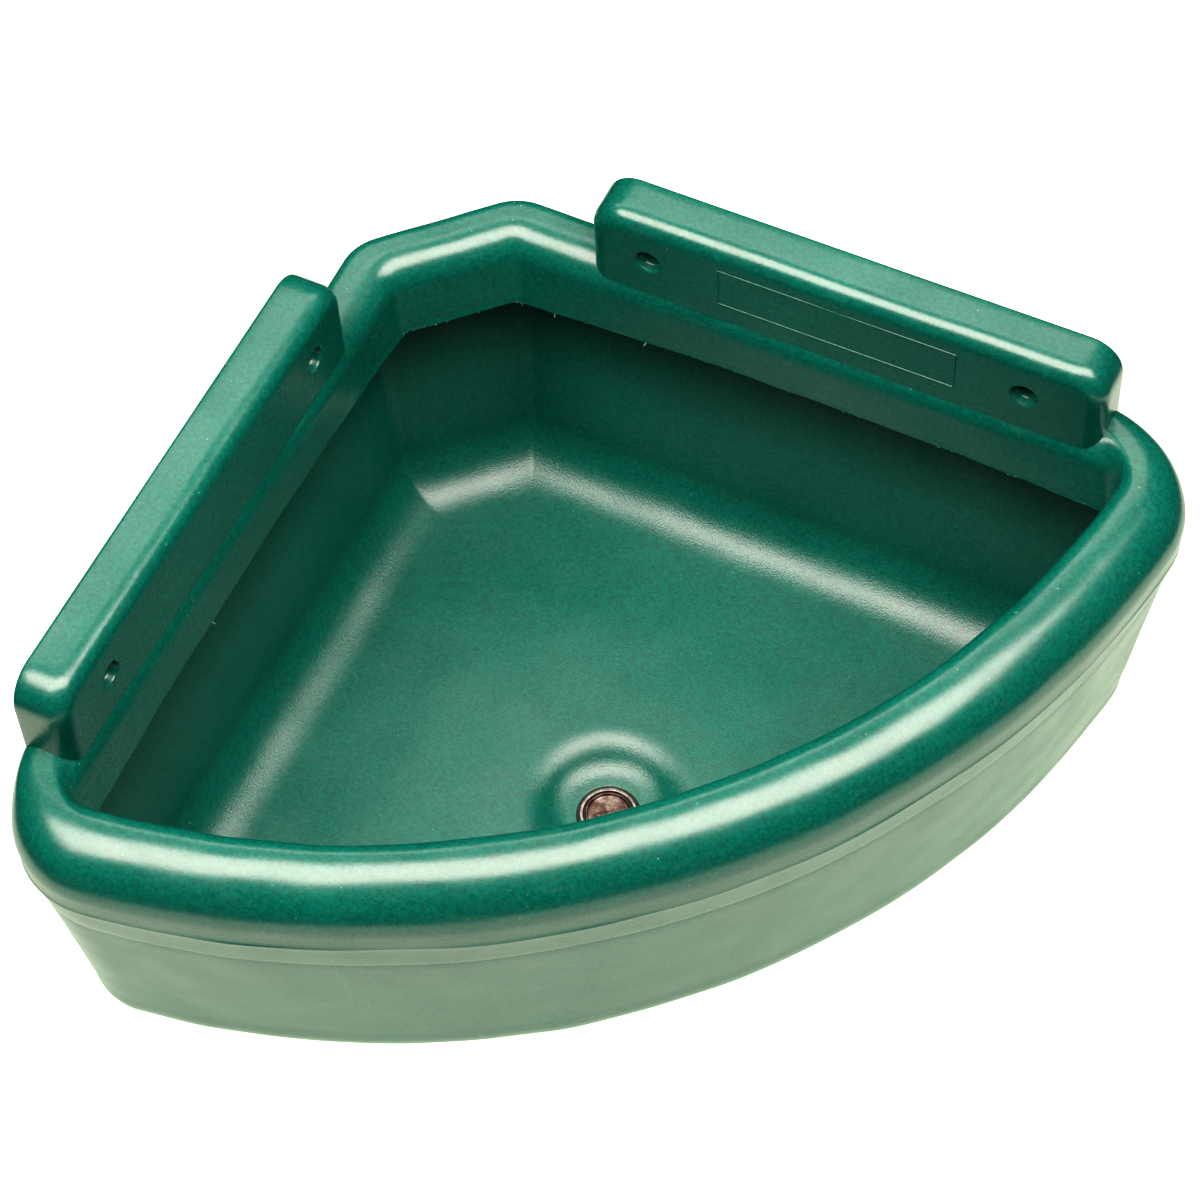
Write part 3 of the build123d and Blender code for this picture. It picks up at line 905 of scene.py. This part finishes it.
def grip_bar():
    """A low bar across the dish: a stadium outline that starts inside the dish floor, rounded on top."""
    half_length, half_width, rise, edge_radius, sunk = 0.0100, 0.0020, 0.0019, 0.0009, 0.0004
    turn = upto(0, 2 * math.pi, 48)
    edge = np.radians([0, 22, 45, 68, 90])
    shrink = np.concatenate([[0, 0], edge_radius * (1 - np.cos(edge)), [half_width]])
    height = np.concatenate([[-sunk, sunk], rise - edge_radius * (1 - np.sin(edge)), [rise]])
    straight = np.sign(np.cos(turn)) * (half_length - half_width)
    x = straight + (half_width - shrink[:, None]) * np.cos(turn)
    y = (half_width - shrink[:, None]) * np.sin(turn)
    c, s = math.cos(GRIP_TURN), math.sin(GRIP_TURN)
    loop = np.stack([DRAIN[0] + c * x - s * y, DRAIN[1] + s * x + c * y,
                     np.broadcast_to(dish_floor + height[:, None], x.shape)], axis=-1)
    foot = np.broadcast_to([DRAIN[0], DRAIN[1], dish_floor - sunk], (1, 48, 3))
    return np.concatenate([foot, loop])


grip = sheet("plug_grip", grip_bar(), poles=True)
smooth(grip, 40)
ring_low, ring_high = heights_of("plug_o_ring")
ring_middle, ring_size = (HEAD + SEAT) / 2, (ring_high - ring_low) / 2
round_section = upto(0, 2 * math.pi, 16)
o_ring = turned("plug_seal_ring", np.stack(
    [ring_middle + ring_size * np.cos(round_section),
     (ring_low + ring_high) / 2 + ring_size * np.sin(round_section)], axis=-1))
print("plug", round(plug_top - plug_bottom, 4), "m tall")

# %% Washer and nut under the sump
washer_low, washer_high = heights_of("back_washer")
nut_low, nut_high = heights_of("lock_nut")
NUT_FLAT, NUT_CORNER, NUT_BORE, WASHER_RADIUS = 0.025, 0.0285, 0.01905, 0.029
washer = turned("thin_washer", rounded(
    [(0.024, washer_low), (WASHER_RADIUS, washer_low), (WASHER_RADIUS, washer_high),
     (NUT_BORE, washer_high), (NUT_BORE, washer_low), (0.0239, washer_low)],
    {1: 0.0006, 2: 0.0003, 3: 0.0003, 4: 0.0004}, 5))
nut = turned("hexagon_nut", spread(rounded(
    [(0.0215, nut_high), (NUT_CORNER, nut_high), (NUT_CORNER, nut_low + 0.0022), (0.0248, nut_low),
     (0.0204, nut_low), (NUT_BORE, nut_low + 0.0012), (NUT_BORE, nut_high)],
    {1: 0.0004, 2: 0.0003, 3: 0.0004}, 5), 0.0012), flats=(NUT_FLAT, 0.0214))
print("washer", round(washer_high - washer_low, 4), "m, nut", round(nut_high - nut_low, 4), "m")

# %% [markdown]
# ## Shavings on the sawn edge
# The opening is cut out of the finished moulding with a saw, and pale shavings stay along the edge, most
# of them in the corners. A shaving is a tiny curled strip: a rectangle bent along its length, thickened by
# Solidify so that it is a closed piece.

# %% Shavings
def shavings(edge, rng, count=90):
    """Strips of 4 by 3 points that start on the edge, lean at random and curl as the square of length."""
    columns, half_front = len(edge), COLUMNS["front"]
    chance = np.where(along_wall == 0, 1.0, 0.5)
    chance[columns // 2 - half_front:columns // 2 + half_front] = 0.15
    start = rng.choice(columns, count, p=chance / chance.sum())
    along = np.roll(edge, -1, axis=0)[start] - edge[start]
    along /= np.linalg.norm(along, axis=1)[:, None]
    base = edge[start] + along * rng.uniform(0, 0.004, (count, 1))
    inward = np.stack([-along[:, 1], along[:, 0], 0 * along[:, 0]], axis=-1)
    inward *= np.sign(((DRAIN - base[:, :2]) * inward[:, :2]).sum(1))[:, None]
    length = rng.gamma(2.0, 0.0007, count)[:, None, None]
    width = rng.uniform(0.0003, 0.0009, count)[:, None, None]
    lean = rng.uniform(-0.8, 0.9, count)[:, None, None]
    run = rng.normal(0, 1.2, count)[:, None, None]
    t, across = np.linspace(0, 1, 4)[:, None], np.linspace(-0.5, 0.5, 3)
    sideways = width * across + length * t * run * 0.5
    forward = length * t * (1 - 0.35 * t) * np.cos(lean)
    grid = (base[:, None, None] + sideways[..., None] * along[:, None, None]
            + forward[..., None] * inward[:, None, None])
    grid[..., 2] += length * (np.sin(lean) * t + 0.7 * t * t * np.sign(lean))
    cell = np.arange(count)[:, None, None] * 12 + np.arange(3)[:, None] * 3 + np.arange(2)
    quads = np.stack([cell, cell + 1, cell + 4, cell + 3], axis=-1).reshape(-1, 4)
    mesh = bpy.data.meshes.new("edge_shavings")
    mesh.from_pydata(grid.reshape(-1, 3).tolist(), [], quads.tolist())
    piece = bpy.data.objects.new("edge_shavings", mesh)
    bpy.context.collection.objects.link(piece)
    thick = piece.modifiers.new("thickness", "SOLIDIFY")
    thick.thickness, thick.offset = 0.00012, 0
    smooth(piece, 60)
    return piece


curls = shavings(cut_edge, np.random.default_rng(8))
print("shavings:", len(curls.data.vertices) // 12)

# %% [markdown]
# ## Green polyethylene
# The moulding is coloured right through and has a semi-gloss skin. Close up it is a fine grain of darker
# and paler specks, with faint cloudy patches, a little dust, and dry rubbed streaks on the ledges. Each of
# those is one noise: its scale in Object coordinates sets the size of the mark, and a ramp sets how much of
# the surface it touches. Grain and long ripples also go into the bump. The hidden side of the skin never
# touched the mould, so it is duller and rougher. Under the overhang, painted shade lowers its colour and
# shine towards the top, standing in for the shade that the lip casts there.

# %% Green plastic
GREEN = (0.0, 0.116, 0.089, 1)
GREEN_DEEP = (0.0, 0.106, 0.081, 1)
GREEN_PALE = (0.001, 0.128, 0.097, 1)


SHINE = 0.85
SHADE_LOW, SHADE_HIGH = -0.17, -0.07        # painted shade under the overhang: the inside darkens upwards between these heights
SPECK, RUBBED, DUST = (0.16, 0.36, 0.27, 1), (0.20, 0.38, 0.30, 1), (0.55, 0.62, 0.52, 1)


def green_plastic(name, roughness, top_painted_shade, streak_share, dust_share, grain_share):
    """Cloudy green with grain, dust and rubbed streaks; grain and ripples in the bump.

    Colour and shine are multiplied by a painted shade that goes from 1, low down, to the given top value,
    standing in for the shade under the overhang.
    """
    made, add, give = material(name, roughness[0])
    place = add("TexCoord", 3)
    colour = ramp(add, noise(add, place, 9, 4), (0.3, GREEN_DEEP), (0.5, GREEN), (0.72, GREEN_PALE))
    grain = noise(add, place, 700, 2, rough=0.7)
    dark_specks = ramp(add, grain, (0.30, 0.72), (0.48, 1.0))
    mottled = ramp(add, noise(add, place, 300, 3, rough=0.65), (0.36, 0.80), (0.62, 1.15))
    # Painted shade: colour and shine fall from 1 low down to the top value higher up, for the shade under
    # the overhang.
    shade = add("MapRange", Value=add("SeparateXYZ", 2, Vector=place), From_Min=SHADE_LOW,
                From_Max=SHADE_HIGH, To_Min=1.0, To_Max=top_painted_shade)
    for layer in (dark_specks, mottled, shade):
        colour = mixed(add, 1.0, colour, layer, "MULTIPLY")
    shine = add("Math", operation="MULTIPLY", Value=shade)
    put(shine.node.inputs[1], SHINE)
    give("Specular IOR Level", shine)
    fine = ramp(add, noise(add, place, 1500, 1), (0.55, 0.0), (0.75, 0.16))
    colour = mixed(add, fine, colour, SPECK)
    streaks = noise(add, place, 26, 3, stretch=(1, 1, 6))
    colour = mixed(add, ramp(add, streaks, (0.58, 0.0), (0.75, streak_share)), colour, RUBBED)
    motes = ramp(add, add("TexVoronoi", Vector=place, Scale=95.0), (0.035, 1.0), (0.06, 0.0))
    sparse = ramp(add, noise(add, place, 14, 0), (0.54, 0.0), (0.56, dust_share))
    colour = mixed(add, mixed(add, 1.0, motes, sparse, "MULTIPLY"), colour, DUST)
    give("Base Color", colour)
    give("Roughness", add("MapRange", Value=noise(add, place, 30, 3), From_Min=0.3, From_Max=0.7,
                          To_Min=roughness[0], To_Max=roughness[1]))
    ripple = add("Bump", Height=noise(add, place, 38, 2), Strength=0.35, Distance=0.0006)
    give("Normal", add("Bump", Height=grain, Strength=grain_share, Distance=0.0005, Normal=ripple))
    return made


def sawn_plastic():
    """The cut face and its shavings: torn plastic, paler and dull, with fine saw marks."""
    made, add, give = material("sawn_polyethylene", 0.6, specular=0.4)
    place = add("TexCoord", 3)
    give("Base Color", ramp(add, noise(add, place, 420, 4), (0.38, (0.02, 0.17, 0.11, 1)),
                            (0.66, (0.30, 0.52, 0.42, 1))))
    give("Normal", add("Bump", Height=noise(add, place, 900, 2), Strength=0.5, Distance=0.0004))
    return made


green = green_plastic("green_polyethylene", (0.21, 0.28), 1.0, 0.05, 0.40, 0.11)
# The inside's painted shade under the overhang brings colour and shine down to a quarter near the lip.
green_inside = green_plastic("green_polyethylene_inside", (0.29, 0.35), 0.25, 0.0, 0.25, 0.60)
sawn = sawn_plastic()
print("plastics:", green.name, green_inside.name, sawn.name)

# %% [markdown]
# ## Metal, rubber and nylon
# The bush is plated and satin. The plug has sat in wet feed, so its dish is brown and grey in patches.
# Turned metal shows fine rings round its axis: a noise that reads only the distance from the drain makes
# them.

# %% Fitting materials
def drain_distance(add):
    """Distance from the drain's axis, as a vector for a noise that makes rings."""
    place = add("TexCoord", 3)
    centred = add("Mapping", Vector=place)
    centred.node.inputs["Location"].default_value = (-float(DRAIN[0]), -float(DRAIN[1]), 0)
    centred.node.inputs["Scale"].default_value = (1, 1, 0)
    return place, add("VectorMath", 1, operation="LENGTH", Vector=centred)


def turning_rings(add, give, distance, scale, detail, depth):
    """Bump of the fine rings that a lathe leaves; gives back their noise."""
    marks = add("TexNoise", noise_dimensions="1D", W=distance, Scale=scale, Detail=detail)
    give("Normal", add("Bump", Height=marks, Strength=depth, Distance=0.0001))
    return marks


def plated_metal():
    """Satin plating, hazy in patches, with turning marks that also change its roughness."""
    made, add, give = material("plated_metal", 0.3, metallic=1.0)
    place, distance = drain_distance(add)
    give("Base Color", ramp(add, noise(add, place, 160, 4), (0.35, (0.20, 0.20, 0.18, 1)),
                            (0.65, (0.42, 0.42, 0.39, 1))))
    marks = turning_rings(add, give, distance, 3000.0, 2.0, 0.2)
    give("Roughness", add("MapRange", Value=marks, To_Min=0.24, To_Max=0.42))
    return made


def stained_metal():
    """Brown to grey stains with dark pits on turned metal."""
    made, add, give = material("stained_metal", 0.4, metallic=0.85)
    place, distance = drain_distance(add)
    stain = ramp(add, noise(add, place, 110, 5, rough=0.62), (0.34, (0.05, 0.03, 0.024, 1)),
                 (0.48, (0.14, 0.10, 0.088, 1)), (0.64, (0.34, 0.30, 0.26, 1)))
    pits = ramp(add, noise(add, place, 900, 2), (0.30, 0.35), (0.42, 1.0))
    give("Base Color", mixed(add, 1.0, stain, pits, "MULTIPLY"))
    give("Roughness", add("MapRange", Value=noise(add, place, 200, 3), To_Min=0.25, To_Max=0.6))
    turning_rings(add, give, distance, 2400.0, 1.0, 0.25)
    return made


def black_material(name, roughness, grain_scale, tint):
    """Black rubber or nylon: a faint pale bloom in patches over a fine grain."""
    made, add, give = material(name, roughness, specular=0.4)
    place = add("TexCoord", 3)
    pale = tuple(2.2 * value for value in tint[:3]) + (1,)
    give("Base Color", ramp(add, noise(add, place, grain_scale / 6, 3), (0.4, tint), (0.7, pale)))
    grain = noise(add, place, grain_scale, 2)
    give("Roughness", add("MapRange", Value=grain, To_Min=roughness - 0.08, To_Max=roughness + 0.1))
    give("Normal", add("Bump", Height=grain, Strength=0.3, Distance=0.0002))
    return made


plated, stained = plated_metal(), stained_metal()
rubber = black_material("black_rubber", 0.62, 1800, (0.012, 0.012, 0.012, 1))
nylon = black_material("black_nylon", 0.42, 900, (0.016, 0.016, 0.017, 1))
print("fitting materials ready")

# %% [markdown]
# ## What each piece is
# Every piece rides on a CAD body, so that it moves as the real one does: the plug turns and rises with its
# seal, and the rest stays with the tub. The CAD node that a piece stands for is hidden, and the table also
# gives each piece a finish name.
# The tub's faces keep their number, which tells the moulded outside, the inside and the sawn edge apart.

# %% Finishes, bodies, nodes and slots
def finish(piece, *materials):
    """Give the piece its materials, keeping which face uses which."""
    index = np.zeros(len(piece.data.polygons), np.int32)
    piece.data.polygons.foreach_get("material_index", index)
    piece.data.materials.clear()
    for one in materials:
        piece.data.materials.append(one)
    piece.data.polygons.foreach_set("material_index", np.minimum(index, len(materials) - 1))
    piece.data.update()


PARTS = (
    (tub, (green, green_inside, sawn), "tub", "tub_shell", "green_polyethylene"),
    (curls, (sawn,), "tub", None, "green_polyethylene"),
    (bush, (plated,), "tub", "drain_bush", "plated_metal"),
    (gasket, (rubber,), "tub", "bush_gasket", "black_rubber"),
    (o_ring, (rubber,), "seal", "plug_o_ring", "black_rubber"),
    (plug, (stained,), "plug", "drain_plug", "plug_metal"),
    (grip, (stained,), "plug", None, "plug_metal"),
    (washer, (plated,), "tub", "back_washer", "plated_metal"),
    (nut, (nylon,), "tub", "lock_nut", "black_nylon"),
)
for piece, looks, body, node, slot in PARTS:
    finish(piece, *looks)
    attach(piece, body)
    if node:
        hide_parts(node)
print("pieces:", len(PARTS))
